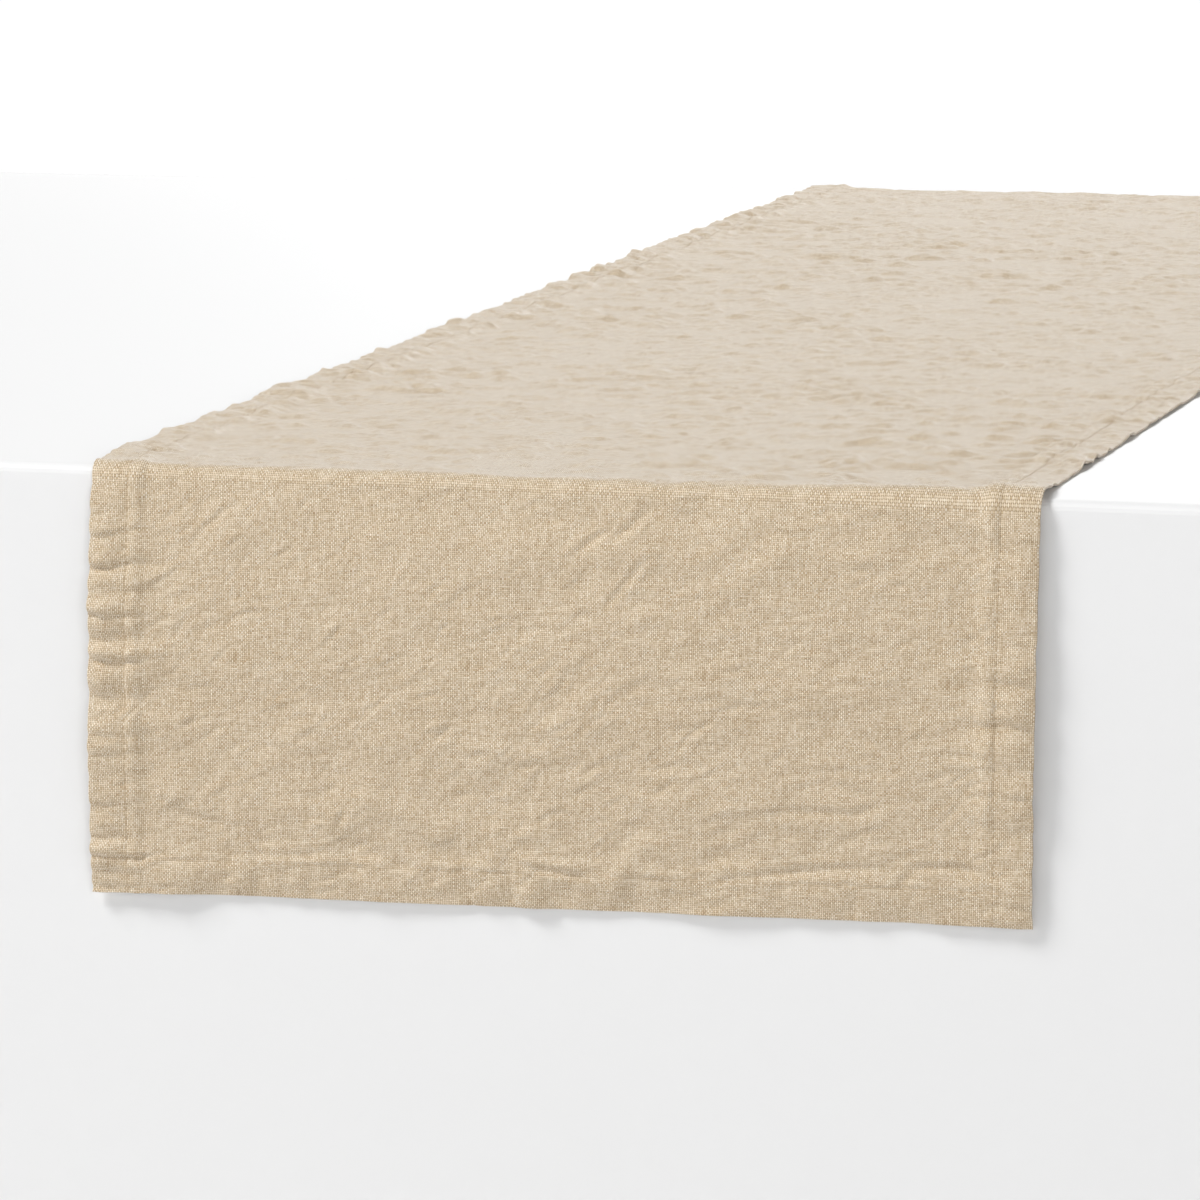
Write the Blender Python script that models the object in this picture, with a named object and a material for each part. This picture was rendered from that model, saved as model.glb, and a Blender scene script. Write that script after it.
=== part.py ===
"""A hemmed linen table runner draped over a table, with an equal drop at each end.

X runs across the runner, Y along it and Z up. The origin is the centre of the runner's
underside, in the plane of the table's top. The cloth is divided where it really turns:
the run on the table, the strip that bends over each table edge, and the two hanging
drops. Each drop lifts about a hinge just outside its table edge.
"""

import math

import bmesh
import bpy
from mathutils import Matrix, Vector

# Driving dimensions, in metres
WIDTH = 0.400
LENGTH = 1.500  # hem edge to hem edge along the middle of the fabric, laid out flat
TABLE_DEPTH = 1.150
FABRIC = 0.0006  # one layer of washed linen
HEM = 0.0016  # the folded hem: the field's own layer and the two turned under it
SIDE_HEM = 0.020
END_HEM = 0.016
BEND = 0.005  # radius of the cloth's inner face where it goes over a table edge
STITCHING = 0.0006  # width of a row of lockstitches
GAP = 0.0003  # clearance between neighbouring solids
EDGE_ROUND = 0.0004  # rounding of a hem's folded outer edge
BEND_STEPS = 10

# Worked out from the driving dimensions
FLAT_HALF = TABLE_DEPTH / 2 - BEND  # from the middle to where the cloth starts to bend
BEND_LENGTH = math.pi / 2 * (BEND + FABRIC / 2)
DROP = LENGTH / 2 - FLAT_HALF - BEND_LENGTH  # straight hanging length
HINGE_SHARE = math.pi / 4  # puts a drop lifted level exactly one bend length further out
HINGE_OUT = FLAT_HALF + HINGE_SHARE * (BEND + FABRIC / 2)
HINGE_UP = HINGE_SHARE * (BEND + FABRIC / 2) - BEND

# Colours of the undyed cloth and its sewing thread, linear
LINEN = (0.555, 0.470, 0.360, 1.0)
THREAD = (0.500, 0.420, 0.310, 1.0)


def clear_scene():
    for obj in list(bpy.data.objects):
        bpy.data.objects.remove(obj)


def matte(name, colour, roughness):
    material = bpy.data.materials.new(name)
    material.use_nodes = True
    shader = material.node_tree.nodes["Principled BSDF"]
    shader.inputs["Base Color"].default_value = colour
    shader.inputs["Roughness"].default_value = roughness
    shader.inputs["Metallic"].default_value = 0.0
    return material


def pivot(name, location):
    """An empty that carries the pieces of one body."""
    empty = bpy.data.objects.new(name, None)
    empty.location = location
    bpy.context.scene.collection.objects.link(empty)
    return empty


def add_object(name, mesh_builder, parent, material):
    """Links a finished bmesh, given in world coordinates, under its body's pivot."""
    bmesh.ops.recalc_face_normals(mesh_builder, faces=mesh_builder.faces)
    bmesh.ops.translate(mesh_builder, verts=mesh_builder.verts, vec=-parent.location)
    mesh = bpy.data.meshes.new(name)
    mesh_builder.to_mesh(mesh)
    mesh_builder.free()
    mesh.materials.append(material)
    obj = bpy.data.objects.new(name, mesh)
    obj.parent = parent
    bpy.context.scene.collection.objects.link(obj)
    return obj


def block(low, high):
    """A box between two corners."""
    low, high = Vector(low), Vector(high)
    made = bmesh.new()
    placing = Matrix.Translation((low + high) / 2) @ Matrix.Diagonal((*(high - low), 1.0))
    bmesh.ops.create_cube(made, size=1.0, matrix=placing)
    return made


def bent_strip(x_range, h_range, side):
    """A strip that turns from level to hanging over one table edge.

    h_range is measured outwards from the cloth's inner face.
    """
    made = bmesh.new()
    start = side * (FLAT_HALF + GAP / 2)
    corners = [
        made.verts.new((x, start, h))
        for x, h in (
            (x_range[0], h_range[0]),
            (x_range[1], h_range[0]),
            (x_range[1], h_range[1]),
            (x_range[0], h_range[1]),
        )
    ]
    section = made.faces.new(corners)
    bmesh.ops.spin(
        made,
        geom=[*corners, *section.edges, section],
        cent=(0, start, -BEND),
        axis=(1, 0, 0),
        angle=-side * math.pi / 2,
        steps=BEND_STEPS,
    )
    # The spin carries the section along, so the start of the strip is closed here.
    bmesh.ops.holes_fill(made, edges=[e for e in made.edges if e.is_boundary])
    return made


def round_outer_edge(obj):
    """Rounds a hem strip's long edges, as cloth turned under is rounded."""
    bevel = obj.modifiers.new("folded edge", "BEVEL")
    bevel.width = EDGE_ROUND
    bevel.segments = 2
    bevel.limit_method = "ANGLE"
    bevel.angle_limit = math.radians(60)
    return obj


def across():
    """The runner's lengthwise strips as (name, x range, thickness, kind)."""
    inner = WIDTH / 2 - SIDE_HEM
    seam = inner - GAP - STITCHING
    return (
        ("panel", (-(seam - GAP), seam - GAP), FABRIC, "panel"),
        ("left_hem", (-WIDTH / 2, -inner), HEM, "hem"),
        ("right_hem", (inner, WIDTH / 2), HEM, "hem"),
        ("left_stitching", (-(seam + STITCHING), -seam), HEM, "thread"),
        ("right_stitching", (seam, seam + STITCHING), HEM, "thread"),
    )


def lay_top(body, materials):
    end = FLAT_HALF - GAP / 2
    for name, (x0, x1), thick, kind in across():
        made = block((x0, -end, 0), (x1, end, thick))
        obj = add_object(f"top_{name}", made, body, materials[kind])
        if kind == "hem":
            round_outer_edge(obj)


def lay_bend(place, side, body, materials):
    for name, x_range, thick, kind in across():
        made = bent_strip(x_range, (0, thick), side)
        add_object(f"{place}_bend_{name}", made, body, materials[kind])


def hang_drop(place, side, body, materials):
    """The hanging end: its field and side hems, closed by the end hem at the bottom."""
    top = -BEND - GAP
    bottom = -BEND - DROP
    hem_top = bottom + END_HEM
    seam_top = hem_top + GAP + STITCHING
    face = side * TABLE_DEPTH / 2

    def hang(name, x_range, z_range, thick, kind):
        depth = sorted((face, face + side * thick))
        made = block((x_range[0], depth[0], z_range[0]), (x_range[1], depth[1], z_range[1]))
        obj = add_object(f"{place}_drop_{name}", made, body, materials[kind])
        return round_outer_edge(obj) if kind == "hem" else obj

    for name, x_range, thick, kind in across():
        hang(name, x_range, (seam_top + GAP, top), thick, kind)
    full = (-WIDTH / 2, WIDTH / 2)
    hang("end_stitching", full, (seam_top - STITCHING, seam_top), HEM, "thread")
    hang("end_hem", full, (bottom, hem_top), HEM, "hem")


def main():
    clear_scene()
    linen = matte("linen", LINEN, 0.90)
    materials = {"panel": linen, "hem": linen, "thread": matte("sewing_thread", THREAD, 0.75)}
    top = pivot("top_centre", (0, 0, 0))
    lay_top(top, materials)
    for place, side in (("near", -1), ("far", 1)):
        lay_bend(place, side, top, materials)
        hinge = pivot(f"{place}_drop_hinge", (0, side * HINGE_OUT, HINGE_UP))
        hang_drop(place, side, hinge, materials)
    bpy.context.view_layer.update()


main()
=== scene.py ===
"""The looks of a washed linen table runner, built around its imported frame.

The cloth is worked out flat, as u across the runner and v along it, in metres from its
middle, with a height off the table. It is relaxed there as a sheet whose hems are drawn
up by their stitching, and then laid over the table along the frame's own path.
"""

import math

import bpy
import numpy as np
from mathutils import Matrix, Vector


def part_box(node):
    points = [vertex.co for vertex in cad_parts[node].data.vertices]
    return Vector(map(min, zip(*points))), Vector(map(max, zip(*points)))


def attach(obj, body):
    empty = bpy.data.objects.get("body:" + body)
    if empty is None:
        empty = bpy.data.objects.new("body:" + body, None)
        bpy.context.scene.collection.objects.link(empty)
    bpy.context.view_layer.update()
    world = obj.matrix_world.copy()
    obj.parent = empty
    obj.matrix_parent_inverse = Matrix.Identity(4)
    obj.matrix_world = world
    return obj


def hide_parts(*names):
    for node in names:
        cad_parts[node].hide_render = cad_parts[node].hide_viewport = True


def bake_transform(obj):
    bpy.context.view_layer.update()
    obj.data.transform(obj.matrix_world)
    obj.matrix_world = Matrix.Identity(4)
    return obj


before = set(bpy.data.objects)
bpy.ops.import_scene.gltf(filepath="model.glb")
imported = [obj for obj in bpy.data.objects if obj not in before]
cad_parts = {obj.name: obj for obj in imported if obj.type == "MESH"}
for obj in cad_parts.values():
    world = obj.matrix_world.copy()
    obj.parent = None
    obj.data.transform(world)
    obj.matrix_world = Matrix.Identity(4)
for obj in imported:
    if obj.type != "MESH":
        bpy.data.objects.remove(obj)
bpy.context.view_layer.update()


def size_of(node):
    low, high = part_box(node)
    return high - low


# Sizes that the frame gives
HALF_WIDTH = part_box("top_right_hem")[1].x
SIDE_HEM = size_of("top_right_hem").x
END_HEM = size_of("near_drop_end_hem").z
FABRIC = size_of("top_panel").z
HEM = size_of("top_right_hem").z
TABLE_HALF = -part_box("near_drop_panel")[1].y
BEND = size_of("near_bend_panel").z - FABRIC
HEM_EDGE = -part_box("near_drop_end_hem")[0].z

# The path over the table, along the middle of the fabric
FLAT_HALF = TABLE_HALF - BEND
ARC = math.pi / 2 * (BEND + FABRIC / 2)
DROP_START = FLAT_HALF + ARC
HALF_LENGTH = FLAT_HALF + ARC + HEM_EDGE - BEND

# Sewing
SIDE_SEAM = 0.0162  # from the side edge to its row of stitches
END_SEAM = 0.0146
STITCH = 0.0031
THREAD_RADIUS = 0.00021
EDGE_ROUND = 0.0008

# The grid of the finished surface: its longest steps, and how many pieces the top is made in
STEP_ACROSS, STEP_OF_ENDS, STEP_OF_TOP = 0.0014, 0.0012, 0.0021
TOP_STRIPS = 3

# Weave
THREADS = 126  # to each repeat of the pattern
REPEAT = 0.100  # metres of cloth to a repeat
CRINKLE = 0.0026  # size of the lumps in the bump

# Relaxing
SIM_STEP = 0.0025
STEPS_ACROSS = 2 * int(round(HALF_WIDTH / SIM_STEP))
STEPS_ALONG = 2 * int(round(HALF_LENGTH / SIM_STEP))
ROUNDS, QUICK_ROUNDS = 420, 40
SIDE_EXCESS = 0.014  # spare length of the side hems against their stitching
END_EXCESS = 0.010
FIELD_EXCESS = 0.006
SHEAR = 0.3  # how firmly the cloth's diagonals keep their length, against 1 along its yarns
FIELD_STIFFNESS, HEM_STIFFNESS = 0.06, 0.45
RETURN = 0.01  # share of its sideways drift that a point loses in each round
WEIGHT = 1.5e-7  # how far the cloth on the table sinks in each round

# Puckers of the left (-1) and right (1) hems and of the end hems: spacing, depth and seed
SIDE_PUCKERS = {-1: (0.0100, 0.0054, 41), 1: (0.0150, 0.0034, 42)}
END_PUCKERS = (0.0200, 0.0017, 43)
PRESSED = {-1: 0.58, 1: 0.30}  # share by which the side hems' puckers are lower on the table
PUCKER_ROUNDING = 0.58  # 1 is a sine wave, and less is rounder with sharper creases
PUCKER_REACH = 0.004  # scale of its fading past the seam, into the field

# Short creases all over: how many, and their shortest length, least depth and widths
CREASES = 9000
CREASE_LENGTH, CREASE_DEPTH, CREASE_WIDTHS = 0.005, 0.00011, (0.0009, 0.0017)

# Unevenness all over: height, size of its lumps across and along, and seed
BROAD = (0.00025, 0.016, 0.009, 22)
FINE = (0.00028, 0.0065, 0.0042, 23)
LUMPS = (0.00050, 0.0036, 0.0040, 26)

# The cloth's lie, in metres off the table
FOLD_LOOSE = 0.0011  # over each table edge
NEAR_FOLD_LOOSE = 0.0026  # further at the near fold's right end
DROP_OFF, DROP_UNEVEN = 0.0006, 0.0005  # all down a drop, and how much that varies
DROP_BELLY = 0.0028  # halfway down a drop
DROP_OVER_HEM = 0.0015  # just above the end hem, which hangs closer to the table

# The near drop's own folds: their lines as millimetres across from the middle and up from
# the hem edge, and their depth as a share of FOLD_DEPTH
FOLD_DEPTH = 2.3  # millimetres
FOLD_WIDTH = 0.0018
FOLDS = (
    (((52, 16.5), (82, 17), (105, 20), (120, 22), (147, 24)), 0.40),
    (((143, 21), (156, 24), (168, 24.5), (186, 22)), 0.45),
    (((146, 14), (147, 18), (152, 21)), 0.30),
    (((-22, 19), (-4, 17), (8, 15), (20, 16.5), (27, 18)), 0.50),
    (((-145, 21), (-136, 17.5), (-112, 18), (-88, 21)), 0.35),
    (((-89, 38), (-91, 31)), 0.40),
    (((-176, 44), (-158, 34), (-132, 28)), 0.25),
    (((108, 98), (124, 99), (142, 97)), 0.22),
    (((126, 81), (133, 75), (141, 69)), 0.28),
    (((160, 73), (172, 71), (184, 69)), 0.28),
    (((42, 61), (66, 62)), 0.22),
    (((94, 61), (120, 63), (146, 62)), 0.20),
    (((34, 87), (66, 90), (100, 87)), 0.20),
    (((76, 42), (100, 45), (126, 45), (150, 53)), 0.30),
    (((6, 146), (16, 154), (28, 160)), 0.34),
    (((19, 150), (30, 158), (40, 168)), 0.30),
    (((20, 124), (32, 138), (40, 150)), 0.25),
    (((-55, 127), (-45, 135)), 0.22),
)

# Stage
FLOOR = -0.45
FLOOR_HALF = 3.0
TABLE_SIDE = 0.75  # half the table's width

# Lights: name, place, target, size and watts
LIGHTS = (
    ("key", (-2.6, -2.3, 3.6), (0, -0.4, 0), 1.6, 197),
    ("back", (-0.6, 2.9, 1.3), (0, 0, 0), 1.0, 52),
    ("side", (3.2, 0.5, 1.3), (0, 0, 0), 1.6, 26),
    ("front", (2.6, -4.8, 1.2), (0, -0.5, 0), 2.6, 52),
)
SKY = 0.12


# ---------------------------------------------------------------- noise and sampling


def lattice(i, j, seed):
    """A fixed random value from -1 to 1 for each whole-numbered point."""
    mixed = (i.astype(np.int64) * 374761393 + j.astype(np.int64) * 668265263 + seed * 69069) & 0xFFFFFFFF
    mixed = ((mixed ^ (mixed >> 13)) * 1274126177) & 0xFFFFFFFF
    return ((mixed ^ (mixed >> 16)) & 0xFFFFFF) / float(0x7FFFFF) - 1.0


def bspline(t):
    """The shares of four neighbouring values, at t from 0 to 1 between the middle two."""
    return (
        (1 - t) ** 3 / 6,
        (3 * t**3 - 6 * t**2 + 4) / 6,
        (-3 * t**3 + 3 * t**2 + 3 * t + 1) / 6,
        t**3 / 6,
    )


def noise(u, v, across, along, seed):
    """Smooth noise of about unit spread, with lumps of these sizes."""
    x, y = u / across + 517.3 + 0.37 * seed, v / along + 291.7 + 0.61 * seed
    i, j = np.floor(x), np.floor(y)
    wx, wy = bspline(x - i), bspline(y - j)
    total = np.zeros(np.broadcast(x, y).shape)
    for a in range(4):
        for b in range(4):
            total = total + wx[a] * wy[b] * lattice(i + a, j + b, seed)
    return total * 3.2


def cubic(values, at, axis):
    """Values on an even grid, read between its lines along one axis."""
    values = np.moveaxis(values, axis, 0)
    low = np.clip(np.floor(at).astype(int), 0, len(values) - 2)
    t = (at - low).reshape(-1, *[1] * (values.ndim - 1))
    weights = (
        (-t + 2 * t**2 - t**3) / 2,
        (2 - 5 * t**2 + 3 * t**3) / 2,
        (t + 4 * t**2 - 3 * t**3) / 2,
        (t**3 - t**2) / 2,
    )
    total = 0
    for k, weight in enumerate(weights):
        total = total + weight * values[np.clip(low + k - 1, 0, len(values) - 1)]
    return np.moveaxis(total, 0, axis)


def smooth_step(x):
    x = np.clip(x, 0, 1)
    return x * x * (3 - 2 * x)


def bump(distance, width):
    return np.exp(-((distance / width) ** 2))


# ---------------------------------------------------------------- regions of the cloth


def on_table(v, run):
    """1 on the table, falling to 0 over this last stretch before its edge."""
    return smooth_step((FLAT_HALF - np.abs(v)) / run)


def turning(v, run=0.014):
    """1 where the cloth turns over a table edge, falling to 0 over a stretch to each side."""
    return smooth_step((ARC / 2 + run - np.abs(np.abs(v) - FLAT_HALF - ARC / 2)) / run)


def down_drop(v):
    """0 on the table and over its edge, rising evenly from there to 1 at the cloth's end."""
    return np.maximum(np.abs(v) - DROP_START, 0) / (HALF_LENGTH - DROP_START)


# ---------------------------------------------------------------- the relaxed cloth


def draw_together(a, b, rest, share):
    """Moves two sets of points towards their rest distance, sharing the move."""
    apart = b - a
    length = np.sqrt((apart * apart).sum(-1))
    move = apart * (0.5 * share * (1 - rest / np.maximum(length, 1e-9)))[..., None]
    a += move
    b -= move


def straighten(points, stiffness, axis):
    """Pulls each point towards the middle of its two neighbours along an axis."""
    line = points.swapaxes(0, 1) if axis else points
    stiff = stiffness.swapaxes(0, 1) if axis else stiffness
    bend = (line[:-2] + line[2:] - 2 * line[1:-1]) * (stiff[1:-1] * 0.125)[..., None]
    line[1:-1] += bend
    line[:-2] -= bend / 2
    line[2:] -= bend / 2


def rest_lengths(u, v, from_side, from_end, in_side, in_end):
    """Rest lengths across, along and diagonally: hems have spare length, but not at their seams."""
    near_side = bump(np.maximum(from_side - SIDE_HEM, 0), 0.014)
    near_end = bump(np.maximum(from_end - END_HEM, 0), 0.012)
    side_seam = bump(from_side - SIDE_SEAM, 0.0022)
    end_seam = bump(from_end - END_SEAM, 0.0022)
    uneven = 1 + 0.45 * noise(u, v, 0.2, 0.035, 3)
    along = 1 + FIELD_EXCESS * (1 + 0.9 * noise(u, v, 0.05, 0.02, 5))
    along = along + SIDE_EXCESS * uneven * (in_side + 0.42 * near_side * (1 - in_side)) * (1 - side_seam)
    across = 1 + 0.5 * FIELD_EXCESS * (1 + 0.9 * noise(u, v, 0.03, 0.03, 6))
    across = across + END_EXCESS * (in_end + 0.4 * near_end * (1 - in_end)) * (1 - end_seam)
    rest_u = (SIM_STEP * (across[:, 1:] + across[:, :-1]) / 2).astype(np.float32)
    rest_v = (SIM_STEP * (along[1:] + along[:-1]) / 2).astype(np.float32)
    rest_d = np.sqrt(((rest_u[1:] + rest_u[:-1]) / 2) ** 2 + ((rest_v[:, 1:] + rest_v[:, :-1]) / 2) ** 2)
    return rest_u, rest_v, rest_d


def first_height(u, v, in_side, in_end):
    """The slight unevenness that the spare length grows from."""
    height = 0.0005 + 0.00035 * noise(u, v, 0.028, 0.013, 1) + 0.0002 * noise(u, v, 0.011, 0.008, 2)
    height = height + 0.0009 * in_side * noise(u, v, 0.06, 0.0085, 8)
    return height + 0.0007 * in_end * noise(u, v, 0.010, 0.06, 9)


def relax(rounds):
    """Offsets of the cloth from its flat grid, after its stitching has drawn it up."""
    u, v = np.meshgrid(
        np.linspace(-HALF_WIDTH, HALF_WIDTH, STEPS_ACROSS + 1),
        np.linspace(-HALF_LENGTH, HALF_LENGTH, STEPS_ALONG + 1),
    )
    from_side, from_end = HALF_WIDTH - np.abs(u), HALF_LENGTH - np.abs(v)
    in_side = smooth_step((SIDE_HEM - from_side) / 0.003 + 0.5)
    in_end = smooth_step((END_HEM - from_end) / 0.003 + 0.5)
    rest_u, rest_v, rest_d = rest_lengths(u, v, from_side, from_end, in_side, in_end)
    stiffness = (FIELD_STIFFNESS + HEM_STIFFNESS * np.maximum(in_side, in_end)).astype(np.float32)
    sink = (WEIGHT * on_table(v, 0.01)).astype(np.float32)
    flat = np.stack([u, v, np.zeros_like(u)], -1).astype(np.float32)
    points = flat.copy()
    points[..., 2] = first_height(u, v, in_side, in_end)
    for _ in range(rounds):
        for s in (0, 1):
            draw_together(points[:, s:-1:2], points[:, s + 1 :: 2], rest_u[:, s::2], 1.0)
            draw_together(points[s:-1:2], points[s + 1 :: 2], rest_v[s::2], 1.0)
        for s in (0, 1):
            draw_together(points[s:-1:2, :-1], points[s + 1 :: 2, 1:], rest_d[s::2], SHEAR)
            draw_together(points[s:-1:2, 1:], points[s + 1 :: 2, :-1], rest_d[s::2], SHEAR)
        straighten(points, stiffness, 0)
        straighten(points, stiffness, 1)
        points[..., :2] += (flat[..., :2] - points[..., :2]) * RETURN
        points[..., 2] -= sink
        np.maximum(points[..., 2], 0, out=points[..., 2])
    return (points - flat).astype(float)


# ---------------------------------------------------------------- puckers and creases


class Puckers:
    """Uneven gathers along a hem: rounded bulges with a sharp crease between each two."""

    def __init__(self, seam, spacing, depth, seed):
        self.seam, self.seed = seam, seed
        rng = np.random.default_rng(seed)
        count = int(2.4 * HALF_LENGTH / spacing)
        self.creases = -1.1 * HALF_LENGTH + np.cumsum(spacing * np.exp(0.32 * rng.standard_normal(count)))
        self.depths = depth * rng.uniform(0.15, 1.0, count) ** 1.4

    def height(self, along, inward, sag):
        """Heights, and the rounding alone from 0 to 1. Bulges that hang sag downwards."""
        wander = 0.16 * noise(along, inward, 0.04, 0.016, self.seed)
        phase = np.interp(along, self.creases, np.arange(len(self.creases))) + wander
        depth = np.interp(along, self.creases, self.depths)
        share = phase - np.floor(phase)
        share = np.where(along < 0, 1 - share, share) ** (1 + 0.5 * sag)
        bulge = np.sin(math.pi * share) ** PUCKER_ROUNDING
        held = 1 - 0.5 * smooth_step((inward - 0.006) / (self.seam - 0.006))
        held = held * (0.45 + 0.55 * smooth_step(inward / 0.006))
        past = np.maximum(inward - self.seam, 0) / PUCKER_REACH
        spread = (held + 0.35 * past * np.exp(1 - past)) * np.exp(-0.33 * past)
        return depth * bulge * spread, bulge


def crease(height, rows, columns, fold, depth, width):
    """Presses one fold, a line of (u, v) points, into heights on a grid of rows and columns."""
    fold = np.asarray(fold)
    reach = 4 * width
    i0, i1 = np.searchsorted(rows, (fold[:, 1].min() - reach, fold[:, 1].max() + reach))
    j0, j1 = np.searchsorted(columns, (fold[:, 0].min() - reach, fold[:, 0].max() + reach))
    if i1 - i0 < 2 or j1 - j0 < 2:
        return
    u, v = np.meshgrid(columns[j0:j1], rows[i0:i1])
    total = sum(math.dist(a, b) for a, b in zip(fold, fold[1:]))
    nearest = np.full(u.shape, np.inf)
    off, along, done = np.zeros(u.shape), np.zeros(u.shape), 0.0
    for a, b in zip(fold, fold[1:]):
        length = math.dist(a, b)
        du, dv = (b - a) / length
        at = np.clip((u - a[0]) * du + (v - a[1]) * dv, 0, length)
        gap_u, gap_v = u - a[0] - at * du, v - a[1] - at * dv
        away = np.hypot(gap_u, gap_v)
        closer = away < nearest
        nearest = np.where(closer, away, nearest)
        off = np.where(closer, np.copysign(away, gap_v), off)
        along = np.where(closer, done + at, along)
        done += length
    taper = np.clip(1 - (2 * along / total - 1) ** 2, 0, 1)
    x = off / width
    ridges = np.exp(-(((x - 1.7) / 1.2) ** 2)) + 0.45 * np.exp(-(((x + 1.7) / 1.2) ** 2))
    height[i0:i1, j0:j1] += depth * taper * (-np.exp(-(x**2)) + 0.62 * ridges)


def random_creases(height, rows, columns):
    """The short, shallow creases that washing leaves all over linen."""
    rng = np.random.default_rng(12)
    centres = rng.uniform((-HALF_WIDTH, -HALF_LENGTH), (HALF_WIDTH, HALF_LENGTH), (CREASES, 2))
    grain = noise(centres[:, 0], centres[:, 1], 0.07, 0.06, 25)
    lengths = CREASE_LENGTH * np.exp(rng.uniform(0, 1.5, CREASES))
    depths = CREASE_DEPTH * np.exp(rng.uniform(0, 1.4, CREASES))
    widths = rng.uniform(*CREASE_WIDTHS, CREASES)
    turns = 0.32 * grain + 0.30 * rng.standard_normal(CREASES)
    bows = rng.uniform(-0.22, 0.22, CREASES)
    for centre, length, depth, width, turn, bow in zip(centres, lengths, depths, widths, turns, bows):
        ahead = np.array((math.cos(turn), math.sin(turn))) * length / 2
        middle = centre + np.array((-ahead[1], ahead[0])) * bow
        crease(height, rows, columns, (centre - ahead, middle, centre + ahead), depth, width)


def near_folds(height, rows, columns):
    for line, share in FOLDS:
        points = [(x / 1000, up / 1000 - HALF_LENGTH) for x, up in line]
        crease(height, rows, columns, points, FOLD_DEPTH * share / 1000, FOLD_WIDTH)


def crumple(u, v):
    """Fine unevenness of washed linen, in metres, which is rougher on the table."""
    table = on_table(v, 0.02)
    patches = 0.6 + 0.4 * noise(u, v, 0.06, 0.05, 24)
    wander = 0.004 * noise(u, v, 0.02, 0.02, 21)
    broad = BROAD[0] * (1 + 0.5 * table) * noise(u + wander, v - wander, *BROAD[1:])
    fine = FINE[0] * (1 + 1.3 * table) * patches * noise(u, v + wander, *FINE[1:])
    lumps = LUMPS[0] * table * noise(u, v, *LUMPS[1:])
    return broad + fine + lumps


# ---------------------------------------------------------------- how the cloth lies


def settled_height(u, v):
    """The cloth rounds the table's edges loosely, most of all at the near fold's right end."""
    loose = NEAR_FOLD_LOOSE * smooth_step((u - 0.06) / 0.13) * bump(v + FLAT_HALF + ARC / 2, 0.016)
    return loose + FOLD_LOOSE * bump(np.abs(v) - FLAT_HALF - ARC / 2, 0.012)


def stand_off(u, v, relaxed, folds):
    """How far the cloth stands off the table, and how far its sides are drawn in."""
    down = down_drop(v)
    hung = np.minimum(8 * down, 1)
    gathered = on_table(v, 0.02) * bump(np.maximum(HALF_WIDTH - np.abs(u) - SIDE_HEM, 0), 0.02)
    # The relaxed height counts for less by the side hems on the table, and over its edges.
    stand = (0.7 - 0.3 * gathered) * relaxed * (1 - 0.5 * turning(v)) + crumple(u, v)
    draw_in = 0
    end_puckers = Puckers(END_SEAM, *END_PUCKERS)
    for side in (-1, 1):
        puckers = Puckers(SIDE_SEAM, *SIDE_PUCKERS[side])
        bulge, rounding = puckers.height(v, HALF_WIDTH - side * u, np.minimum(6 * down, 1))
        stand = stand + bulge * (1 - 0.75 * turning(v)) * (1 - PRESSED[side] * (1 - hung))
        draw_in = draw_in - side * 0.0005 * (1 - rounding) * bump(HALF_WIDTH - side * u, 0.009)
        stand = stand + end_puckers.height(u, HALF_LENGTH - side * v, 0)[0]
    stand = stand + folds + hung * (DROP_OFF + DROP_UNEVEN * noise(u, v, 0.12, 0.10, 31))
    stand = stand + settled_height(u, v) + DROP_BELLY * np.sin(math.pi * down)
    stand = stand + DROP_OVER_HEM * smooth_step((HALF_LENGTH - np.abs(v)) / 0.022) * hung
    return np.maximum(stand, 0), draw_in


def settle(u, v, down):
    """Shears the near drop slightly, as it hangs: its hem rises to the right."""
    near = v < 0
    by_fold = smooth_step((0.03 - np.maximum(FLAT_HALF - np.abs(v), 0)) / 0.03)
    shift = (0.0021 - 0.0032 * down) * by_fold
    rise = down * (0.0016 + 0.0165 * u)
    return np.where(near, u + shift, u), np.where(near, v + rise, v)


def profile(from_side, from_end):
    """Heights of the cloth's top and bottom faces off its underside."""
    lift = 0.0
    uneven = 1 + 0.22 * noise(from_side, from_end, 0.02, 0.02, 51)
    for distance, hem, seam in ((from_side, SIDE_HEM, SIDE_SEAM), (from_end, END_HEM, END_SEAM)):
        band = np.where(distance < hem, 1.0, bump(distance - hem, 0.0032))
        band = band * np.where(distance > seam, uneven, 1)
        lift = np.maximum(lift, band * (1 - 0.22 * bump(distance - seam, 0.0012)))
    top = FABRIC + (HEM - FABRIC) * lift
    folded = (from_side < SIDE_HEM) | (from_end < END_HEM)
    under = np.where(folded, 0.0, top - FABRIC)
    edge = np.minimum(from_side, from_end)
    round_in = np.sqrt(np.clip(1 - (1 - np.minimum(edge / EDGE_ROUND, 1)) ** 2, 0, 1))
    middle = (top + under) / 2
    half = (top - under) / 2 * (0.15 + 0.85 * round_in)
    return middle + half, middle - half


# ---------------------------------------------------------------- the grid's lines


def spaced(stops):
    """Grid lines through each stop, an even number of steps apart: (place, longest step)."""
    lines = [stops[0][0]]
    for (a, _), (b, step) in zip(stops, stops[1:]):
        count = 2 * math.ceil((b - a) / step / 2)
        lines += list(np.linspace(a, b, count + 1)[1:])
    return np.array(lines)


def hem_stops(hem, seam):
    """Stops from an edge to just past its hem, finest at the edge, the seam and the inner fold."""
    return [
        (0, 0),
        (EDGE_ROUND, 0.0004),
        (seam - 0.0011, 0.00115),
        (seam + 0.0011, 0.0006),
        (hem - 0.0002, 0.0009),
        (hem + 0.0002, 0.0002),
        (hem + 0.004, 0.001),
    ]


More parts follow.
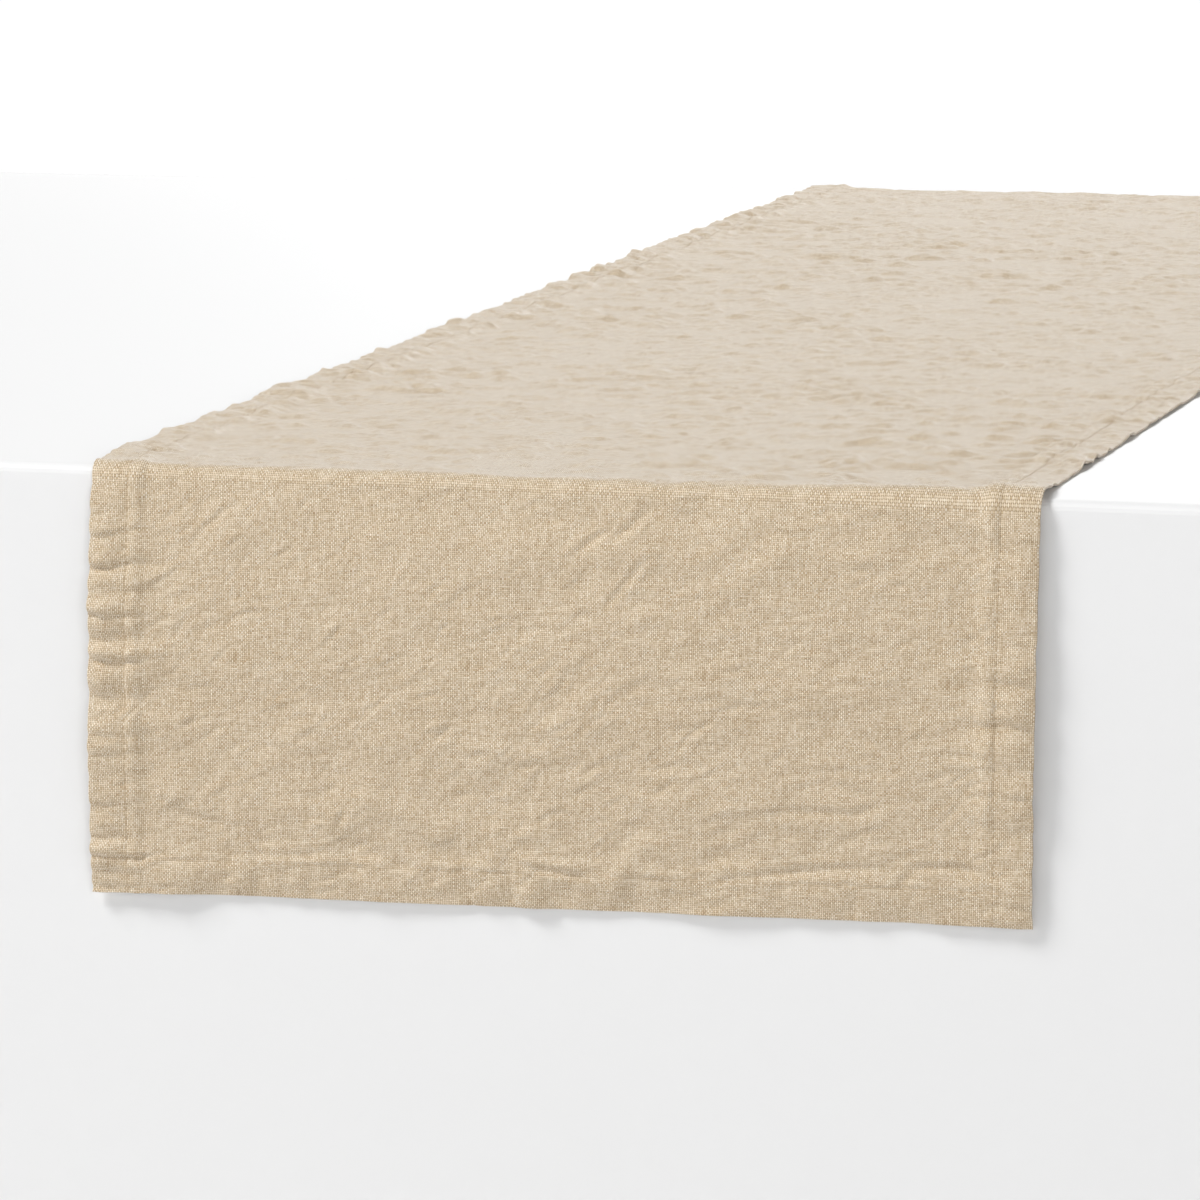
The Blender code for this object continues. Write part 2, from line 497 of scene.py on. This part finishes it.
def lines_across(step):
    side = spaced(hem_stops(SIDE_HEM, SIDE_SEAM))
    middle = spaced([(-HALF_WIDTH + side[-1], 0), (HALF_WIDTH - side[-1], step)])
    return np.concatenate([-HALF_WIDTH + side[:-1], middle, (HALF_WIDTH - side[:-1])[::-1]])


def lines_of_end(step):
    """Rows of one end, from its hem edge to where the middle of the runner begins."""
    stops = [(place - HALF_LENGTH, gap) for place, gap in hem_stops(END_HEM, END_SEAM)]
    stops += [(-DROP_START, step), (-FLAT_HALF, 0.0008), (-FLAT_HALF + 0.012, step)]
    return spaced(stops)


# ---------------------------------------------------------------- the finished surface


class Surface:
    """The whole runner's two faces, on one grid of rows along v and columns along u."""

    def __init__(self, rows, columns, offsets):
        self.rows, self.columns = rows, columns
        u, v = np.meshgrid(columns, rows)
        at_v = (rows + HALF_LENGTH) / (2 * HALF_LENGTH / STEPS_ALONG)
        at_u = (columns + HALF_WIDTH) / (2 * HALF_WIDTH / STEPS_ACROSS)
        moved = cubic(cubic(offsets, at_v, 0), at_u, 1)
        folds = np.zeros_like(u)
        random_creases(folds, rows, columns)
        near_folds(folds, rows, columns)
        stand, draw_in = stand_off(u, v, moved[..., 2], folds)
        across, path = settle(u + moved[..., 0] + draw_in, v + moved[..., 1], down_drop(v))
        top, under = profile(HALF_WIDTH - np.abs(u), HALF_LENGTH - np.abs(v))
        self.top = self.lay(across, path, stand + top)
        self.under = self.lay(across, path, stand + under)
        self.top_normals = self.normals(self.top)
        self.under_normals = -self.normals(self.under)

    @staticmethod
    def lay(x, path, height):
        """Takes flat places to places on the table and down its sides."""
        side, out = np.sign(path), np.abs(path)
        turn = np.clip((out - FLAT_HALF) / ARC, 0, 1) * math.pi / 2
        hang = np.maximum(out - DROP_START, 0)
        y = side * (np.minimum(out, FLAT_HALF) + (BEND + height) * np.sin(turn))
        z = (BEND + height) * np.cos(turn) - BEND - hang
        return np.stack([x, y, z], -1)

    @staticmethod
    def normals(points):
        def change(axis):
            step = np.empty_like(points)
            p, s = np.moveaxis(points, axis, 0), np.moveaxis(step, axis, 0)
            s[1:-1], s[0], s[-1] = p[2:] - p[:-2], p[1] - p[0], p[-1] - p[-2]
            return step

        across = np.cross(change(1), change(0))
        return across / np.maximum(np.linalg.norm(across, axis=-1, keepdims=True), 1e-12)

    def part(self, name, first, last):
        """A closed mesh of the rows from first to last: a fine top, and an under side half as fine."""
        tops = self.top[first : last + 1]
        unders = self.under[first : last + 1 : 2, ::2]
        nv, nu = tops.shape[:2]
        mv, mu = unders.shape[:2]
        places = np.concatenate([tops.reshape(-1, 3), unders.reshape(-1, 3)])
        facing = np.concatenate([
            self.top_normals[first : last + 1].reshape(-1, 3),
            self.under_normals[first : last + 1 : 2, ::2].reshape(-1, 3),
        ])
        t = np.arange(nv * nu).reshape(nv, nu)
        b = nv * nu + np.arange(mv * mu).reshape(mv, mu)
        quads = [
            np.stack([t[:-1, :-1], t[:-1, 1:], t[1:, 1:], t[1:, :-1]], -1).reshape(-1, 4),
            np.stack([b[:-1, :-1], b[1:, :-1], b[1:, 1:], b[:-1, 1:]], -1).reshape(-1, 4),
        ]
        rims = []
        for upper, lower in (
            (t[0], b[0]),
            (t[:, -1], b[:, -1]),
            (t[-1, ::-1], b[-1, ::-1]),
            (t[::-1, 0], b[::-1, 0]),
        ):
            rims.append(np.stack([upper[2::2], upper[1:-1:2], upper[:-2:2], lower[:-1], lower[1:]], -1))
        return make_mesh(name, places, [*quads, *rims], facing, self.maps(first, last))

    def maps(self, first, last):
        """For each vertex, its place in the flat cloth, in repeats of the weave."""
        u, v = np.meshgrid(self.columns, self.rows[first : last + 1])
        whole = math.floor(v.min() / REPEAT) + 1
        flat = np.stack([u / REPEAT + 1, v / REPEAT - whole], -1)
        return np.concatenate([flat.reshape(-1, 2), flat[::2, ::2].reshape(-1, 2)])

    def at(self, u, v, over=True):
        """Place and outward normal at flat places on the top face, or on the under side."""
        points = self.top if over else self.under
        normals = self.top_normals if over else self.under_normals
        i = np.clip(np.searchsorted(self.rows, v) - 1, 0, len(self.rows) - 2)
        j = np.clip(np.searchsorted(self.columns, u) - 1, 0, len(self.columns) - 2)
        a = ((v - self.rows[i]) / (self.rows[i + 1] - self.rows[i]))[:, None]
        b = ((u - self.columns[j]) / (self.columns[j + 1] - self.columns[j]))[:, None]

        def read(values):
            low = values[i, j] * (1 - b) + values[i, j + 1] * b
            high = values[i + 1, j] * (1 - b) + values[i + 1, j + 1] * b
            return low * (1 - a) + high * a

        return read(points), read(normals)


def make_mesh(name, places, face_groups, facing=None, maps=None):
    """A smooth mesh from numpy arrays of corners, one group for each number of sides."""
    corners = np.concatenate([group.ravel() for group in face_groups]).astype(np.int32)
    sides = np.concatenate([np.full(len(group), group.shape[1]) for group in face_groups])
    starts = np.concatenate([[0], np.cumsum(sides)[:-1]]).astype(np.int32)
    mesh = bpy.data.meshes.new(name)
    mesh.vertices.add(len(places))
    mesh.loops.add(len(corners))
    mesh.polygons.add(len(sides))
    mesh.vertices.foreach_set("co", places.astype(np.float32).ravel())
    mesh.loops.foreach_set("vertex_index", corners)
    mesh.polygons.foreach_set("loop_start", starts)
    mesh.update(calc_edges=True)
    mesh.validate()
    mesh.shade_smooth()
    if maps is not None:
        layer = mesh.uv_layers.new(name="OFBake")
        layer.data.foreach_set("uv", maps[corners].astype(np.float32).ravel())
    if facing is not None:
        mesh.normals_split_custom_set_from_vertices(facing.astype(np.float32))
    obj = bpy.data.objects.new(name, mesh)
    bpy.context.scene.collection.objects.link(obj)
    return obj


# ---------------------------------------------------------------- stitching


def stitched(name, surface, runs, over):
    """Rows of stitches between flat places, as short threads that dive in at each end."""
    rings, sides = 5, 6
    starts, ends = [], []
    for (u0, v0), (u1, v1) in runs:
        count = int(round(math.hypot(u1 - u0, v1 - v0) / STITCH))
        cuts = np.linspace(0, 1, count + 1)
        line = np.stack([u0 + (u1 - u0) * cuts, v0 + (v1 - v0) * cuts], -1)
        starts.append(line[:-1])
        ends.append(line[1:])
    starts, ends = np.concatenate(starts), np.concatenate(ends)
    starts, ends = starts + (ends - starts) * 0.06, ends + (starts - ends) * 0.06
    share = np.linspace(0, 1, rings)
    flat = starts[:, None] + (ends - starts)[:, None] * share[None, :, None]
    place, normal = surface.at(flat[..., 0].ravel(), flat[..., 1].ravel(), over)
    place, normal = place.reshape(*flat.shape[:2], 3), normal.reshape(*flat.shape[:2], 3)
    arch = np.sin(math.pi * share)[None, :, None]
    centre = place + normal * THREAD_RADIUS * (-0.7 + 1.25 * arch)
    ahead = np.gradient(centre, axis=1)
    ahead /= np.linalg.norm(ahead, axis=-1, keepdims=True)
    beside = np.cross(ahead, normal)
    radius = THREAD_RADIUS * (0.55 + 0.45 * arch)
    turn = np.arange(sides) * 2 * math.pi / sides
    ring = centre[:, :, None] + (radius * beside)[:, :, None] * np.cos(turn)[None, None, :, None]
    ring = ring + (radius * normal)[:, :, None] * np.sin(turn)[None, None, :, None]
    index = np.arange(ring[..., 0].size).reshape(ring.shape[:3])
    here, there = index[:, :-1], index[:, 1:]
    walls = np.stack([here, np.roll(here, -1, 2), np.roll(there, -1, 2), there], -1).reshape(-1, 4)
    caps = np.concatenate([index[:, 0, ::-1], index[:, -1]])
    return make_mesh(name, ring.reshape(-1, 3), [walls, caps])


# ---------------------------------------------------------------- materials


class Nodes:
    """A short way to build a node tree."""

    def __init__(self, name):
        self.material = bpy.data.materials.new(name)
        self.material.use_nodes = True
        self.tree = self.material.node_tree
        self.shader = self.tree.nodes["Principled BSDF"]

    def add(self, kind, inputs=(), **settings):
        node = self.tree.nodes.new(kind)
        for key, value in settings.items():
            setattr(node, key, value)
        for socket, value in dict(inputs).items():
            self.put(node.inputs[socket], value)
        return node

    def put(self, socket, value):
        if hasattr(value, "is_output"):
            self.tree.links.new(value, socket)
        else:
            socket.default_value = value

    def maths(self, operation, *values):
        return self.add("ShaderNodeMath", dict(enumerate(values)), operation=operation).outputs[0]

    def ramp(self, value, stops):
        node = self.add("ShaderNodeValToRGB", {0: value})
        elements = node.color_ramp.elements
        while len(elements) < len(stops):
            elements.new(0.5)
        for element, (place, colour) in zip(elements, stops):
            element.position = place
            element.color = colour
        return node.outputs[0]

    def multiply(self, first, second):
        """Two colours multiplied."""
        inputs = {0: 1.0, 6: first, 7: second}
        return self.add("ShaderNodeMix", inputs, data_type="RGBA", blend_type="MULTIPLY").outputs[2]

    def finish(self, inputs):
        """Sets the shader's inputs and gives the material."""
        for socket, value in inputs.items():
            self.put(self.shader.inputs[socket], value)
        return self.material


def linear(red, green, blue):
    """A linear colour from one given in 0 to 255 as displays show it."""

    def one(c):
        c /= 255
        return c / 12.92 if c <= 0.04045 else ((c + 0.055) / 1.055) ** 2.4

    return (one(red), one(green), one(blue), 1.0)


def yarn(n, along, number, seed):
    """Noise that changes along a yarn and from one yarn to the next, and repeats with the pattern."""
    angle = n.maths("MULTIPLY", along, 2 * math.pi)
    ring = 1.9  # repeats of the noise's own lumps round the pattern, over 2 pi
    x = n.maths("MULTIPLY", n.maths("COSINE", angle), ring)
    y = n.maths("MULTIPLY", n.maths("SINE", angle), ring)
    z = n.maths("ADD", n.maths("MULTIPLY", number, 3.71), seed)
    place = n.add("ShaderNodeCombineXYZ", {0: x, 1: y, 2: z}).outputs[0]
    made = n.add("ShaderNodeTexNoise", {"Vector": place, "Scale": 1.0, "Detail": 1.0, "Roughness": 0.5})
    return made.outputs["Fac"]


def yarn_height(n, place, thickness, wave, swing):
    """A yarn's round section, higher where it passes over and lower where it passes under."""
    rounded = n.maths("SINE", n.maths("MULTIPLY", n.maths("FRACT", place), math.pi))
    thick = n.maths("ADD", n.maths("MULTIPLY", thickness, 0.5), 0.45)
    lift = n.maths("ADD", n.maths("MULTIPLY", wave, swing), 0.75)
    return n.maths("MULTIPLY", n.maths("MULTIPLY", rounded, thick), lift)


def crinkle(n, u, v):
    """Small lumps laid on a torus, so that they repeat with the pattern."""
    ring = REPEAT / CRINKLE / (2 * math.pi)
    places = []
    for part in (u, v):
        angle = n.maths("MULTIPLY", part, 2 * math.pi)
        places += [n.maths("MULTIPLY", n.maths(turn, angle), ring) for turn in ("COSINE", "SINE")]
    place = n.add("ShaderNodeCombineXYZ", dict(enumerate(places[:3]))).outputs[0]
    inputs = {"Vector": place, "W": places[3], "Scale": 1.0, "Detail": 1.5, "Roughness": 0.55}
    return n.add("ShaderNodeTexNoise", inputs, noise_dimensions="4D").outputs["Fac"]


def linen(name):
    """Plain weave of undyed flax yarn, uneven in thickness and shade, with painted shade darkening the
    gaps between yarns.
    """
    n = Nodes(name)
    flat = n.add("ShaderNodeUVMap", uv_map="OFBake").outputs[0]
    parts = n.add("ShaderNodeSeparateXYZ", {0: flat})
    u, v = parts.outputs[0], parts.outputs[1]
    warp_at, weft_at = (n.maths("MULTIPLY", part, float(THREADS)) for part in (u, v))
    warp = n.maths("FLOORED_MODULO", n.maths("FLOOR", warp_at), float(THREADS))
    weft = n.maths("FLOORED_MODULO", n.maths("FLOOR", weft_at), float(THREADS))
    warp_yarn, weft_yarn = yarn(n, v, warp, 11.0), yarn(n, u, weft, 57.0)
    over = n.maths("SINE", n.maths("MULTIPLY", n.maths("ADD", weft_at, warp), math.pi))
    beneath = n.maths("SINE", n.maths("MULTIPLY", n.maths("ADD", warp_at, weft), math.pi))
    warp_height = yarn_height(n, warp_at, warp_yarn, over, 0.45)
    weft_height = yarn_height(n, weft_at, weft_yarn, beneath, -0.45)
    height = n.maths("MAXIMUM", warp_height, weft_height)
    warp_shows = n.maths("GREATER_THAN", warp_height, weft_height)
    choice = {0: warp_shows, 2: weft_yarn, 3: warp_yarn}
    shown = n.add("ShaderNodeMix", choice, data_type="FLOAT").outputs[0]
    crossing_at = n.add("ShaderNodeCombineXYZ", {0: warp, 1: weft, 2: warp_shows}).outputs[0]
    own = n.add("ShaderNodeTexWhiteNoise", {"Vector": crossing_at}).outputs["Value"]
    shade = n.maths("ADD", n.maths("MULTIPLY", shown, 0.22), n.maths("MULTIPLY", own, 0.20))
    shade = n.maths("ADD", n.maths("ADD", shade, n.maths("MULTIPLY", warp_shows, 0.15)), 0.205)
    colour = n.ramp(shade, (
        (0.08, linear(136, 108, 76)),
        (0.30, linear(192, 168, 135)),
        (0.52, linear(226, 210, 186)),
        (0.74, linear(248, 240, 226)),
        (0.96, linear(255, 255, 252)),
    ))
    # Painted shade: the colour is darkened where the yarns' height is low, in the gaps between them.
    painted_gap_shade = n.ramp(height, (
        (0.15, (0.34, 0.28, 0.20, 1)),
        (0.42, (0.80, 0.75, 0.67, 1)),
        (0.66, (1.0, 1.0, 1.0, 1)),
    ))
    uneven = n.maths("ADD", height, n.maths("MULTIPLY", crinkle(n, u, v), 3.8))
    relief = n.add("ShaderNodeBump", {"Strength": 0.9, "Distance": 0.0002, "Height": uneven})
    return n.finish({
        "Base Color": n.multiply(colour, painted_gap_shade),
        "Normal": relief.outputs[0],
        "Roughness": 0.88,
        "Specular IOR Level": 0.25,
        "Sheen Weight": 0.75,
        "Sheen Roughness": 0.42,
        "Sheen Tint": (1.0, 0.98, 0.95, 1.0),
    })


def thread(name):
    """Spun sewing thread, a shade darker than the cloth."""
    n = Nodes(name)
    place = n.add("ShaderNodeTexCoord").outputs["Object"]
    plies = n.add("ShaderNodeTexNoise", {"Vector": place, "Scale": 900.0, "Detail": 2.0}).outputs["Fac"]
    colour = n.ramp(plies, ((0.3, linear(178, 154, 122)), (0.7, linear(206, 186, 156))))
    relief = n.add("ShaderNodeBump", {"Strength": 0.5, "Distance": 0.0001, "Height": plies})
    return n.finish({
        "Base Color": colour,
        "Normal": relief.outputs[0],
        "Roughness": 0.7,
        "Sheen Weight": 0.2,
    })


def paint(name, shade, glow=0.0):
    """Plain grey or white paint, which may give off white light."""
    return Nodes(name).finish({
        "Base Color": (shade, shade, shade, 1.0),
        "Roughness": 0.7,
        "Emission Color": (1.0, 1.0, 1.0, 1.0),
        "Emission Strength": glow,
    })


# ---------------------------------------------------------------- the runner


def strips(*ends):
    return [f"{place}_{kind}" for place in ends for kind in ("panel", "left_hem", "right_hem")]


def threads(*ends):
    return [f"{place}_{side}_stitching" for place in ends for side in ("left", "right")]


def on_top(piece, material):
    piece.data.materials.append(material)
    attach(piece, "top")


def crossing(piece, material):
    """A piece that lies on the table and bends down its side, left in place on no one body."""
    piece.data.materials.append(material)
    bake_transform(piece)


def make_end(surface, place, side, rows, join, cloth, sewn):
    """One end of the runner: its bend and drop, and the stitching of both its faces."""
    piece = surface.part(f"{place}_end_cloth", *rows)
    crossing(piece, cloth)
    nodes = [*strips(f"{place}_bend", f"{place}_drop"), f"{place}_drop_end_hem"]
    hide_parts(*nodes)
    seam_u, seam_v = HALF_WIDTH - SIDE_SEAM, HALF_LENGTH - END_SEAM
    runs = [((x, side * join), (x, side * HALF_LENGTH)) for x in (-seam_u, seam_u)]
    runs.append(((-HALF_WIDTH, side * seam_v), (HALF_WIDTH, side * seam_v)))
    for kind, over in (("needle", True), ("bobbin", False)):
        sewing = stitched(f"{place}_end_{kind}_thread", surface, runs, over)
        crossing(sewing, sewn)
        if over:
            nodes = [*threads(f"{place}_bend", f"{place}_drop"), f"{place}_drop_end_stitching"]
            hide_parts(*nodes)


def make_top(surface, first, last, join, cloth, sewn):
    """The run on the table, in equal strips, and the stitching of both its faces."""
    strip = (last - first) // TOP_STRIPS
    for k in range(TOP_STRIPS):
        piece = surface.part(f"top_cloth_{k + 1}", first + k * strip, first + (k + 1) * strip)
        on_top(piece, cloth)
        if k == 0:
            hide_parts(*strips("top"))
    seam_u = HALF_WIDTH - SIDE_SEAM
    runs = [((x, -join), (x, join)) for x in (-seam_u, seam_u)]
    for kind, over in (("needle", True), ("bobbin", False)):
        sewing = stitched(f"top_{kind}_thread", surface, runs, over)
        on_top(sewing, sewn)
        if over:
            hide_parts(*threads("top"))


def make_runner():
    offsets = relax(ROUNDS)
    end_rows = lines_of_end(STEP_OF_ENDS)
    join = -end_rows[-1]
    top_stops = [(-join + 2 * join * k / TOP_STRIPS, STEP_OF_TOP) for k in range(TOP_STRIPS + 1)]
    rows = np.concatenate([end_rows, spaced(top_stops)[1:-1], -end_rows[::-1]])
    surface = Surface(rows, lines_across(STEP_ACROSS), offsets)
    materials = linen("washed_linen"), thread("sewing_thread")
    end, last = len(end_rows) - 1, len(rows) - 1
    make_end(surface, "near", -1, (0, end), join, *materials)
    make_end(surface, "far", 1, (last - end, last), join, *materials)
    make_top(surface, end, last - end, join, *materials)


# ---------------------------------------------------------------- stage, light, camera


def block(name, low, high, material, rounding=0.0):
    """A box between two corners, with rounded edges if wanted."""
    mesh = bpy.data.meshes.new(name)
    corners = [(x, y, z) for x in (low[0], high[0]) for y in (low[1], high[1]) for z in (low[2], high[2])]
    faces = [(0, 1, 3, 2), (4, 6, 7, 5), (0, 4, 5, 1), (2, 3, 7, 6), (0, 2, 6, 4), (1, 5, 7, 3)]
    mesh.from_pydata(corners, [], faces)
    mesh.materials.append(material)
    obj = bpy.data.objects.new(name, mesh)
    bpy.context.scene.collection.objects.link(obj)
    if rounding:
        bevel = obj.modifiers.new("rounded edges", "BEVEL")
        bevel.width, bevel.segments = rounding, 4
    return obj


def surround(material, radius=9.0, low=-3.0, high=2.2, sides=48):
    """A round white wall, further off than any camera."""
    turn = np.arange(sides) * 2 * math.pi / sides
    ring = np.stack([radius * np.cos(turn), radius * np.sin(turn)], -1)
    places = np.concatenate([np.column_stack([ring, np.full(sides, z)]) for z in (low, high)])
    here = np.arange(sides)
    there = np.roll(here, -1)
    obj = make_mesh("backdrop", places, [np.stack([there, here, here + sides, there + sides], -1)])
    obj.data.materials.append(material)
    return obj


def set_stage():
    """The table that the runner is draped over, on a pale floor inside the white wall."""
    low, high = (-TABLE_SIDE, -TABLE_HALF, FLOOR), (TABLE_SIDE, TABLE_HALF, 0.0)
    table = block("resting_block", low, high, paint("white", 0.82), BEND * 0.8)
    low, high = (-FLOOR_HALF, -FLOOR_HALF, FLOOR - 0.02), (FLOOR_HALF, FLOOR_HALF, FLOOR)
    floor = block("floor", low, high, paint("pale_grey", 0.70))
    surround(paint("white_surround", 0.0, 1.0))


def area_light(name, place, target, size, power):
    data = bpy.data.lights.new(name, "AREA")
    data.shape, data.size, data.energy = "DISK", size, power
    obj = bpy.data.objects.new(name, data)
    obj.visible_camera = False
    obj.location = place
    obj.rotation_mode = "QUATERNION"
    obj.rotation_quaternion = (Vector(target) - Vector(place)).to_track_quat("-Z", "Y")
    bpy.context.scene.collection.objects.link(obj)


def set_light():
    world = bpy.data.worlds.new("studio")
    bpy.context.scene.world = world
    world.use_nodes = True
    world.node_tree.nodes["Background"].inputs["Color"].default_value = (1.0, 1.0, 1.0, 1.0)
    world.node_tree.nodes["Background"].inputs["Strength"].default_value = SKY
    for light in LIGHTS:
        area_light(*light)
    bpy.context.scene.view_settings.view_transform = "Standard"


def set_camera():
    """The photograph's view, found from the runner's own edges."""
    place = Vector((0.7354, -2.9121, 0.3646))
    turn, down, roll = math.radians(-17.029), math.radians(9.567), math.radians(-0.468)
    ahead = Vector((math.sin(turn) * math.cos(down), math.cos(turn) * math.cos(down), -math.sin(down)))
    data = bpy.data.cameras.new("camera")
    data.sensor_width, data.lens = 36.0, 184.76
    data.clip_start, data.clip_end = 0.05, 60
    camera = bpy.data.objects.new("camera", data)
    camera.rotation_mode = "QUATERNION"
    facing = ahead.to_track_quat("-Z", "Y").to_matrix() @ Matrix.Rotation(roll, 3, "Z")
    camera.rotation_quaternion = facing.to_quaternion()
    camera.location = place
    bpy.context.scene.collection.objects.link(camera)
    bpy.context.scene.camera = camera


set_camera()
make_runner()
set_stage()
set_light()
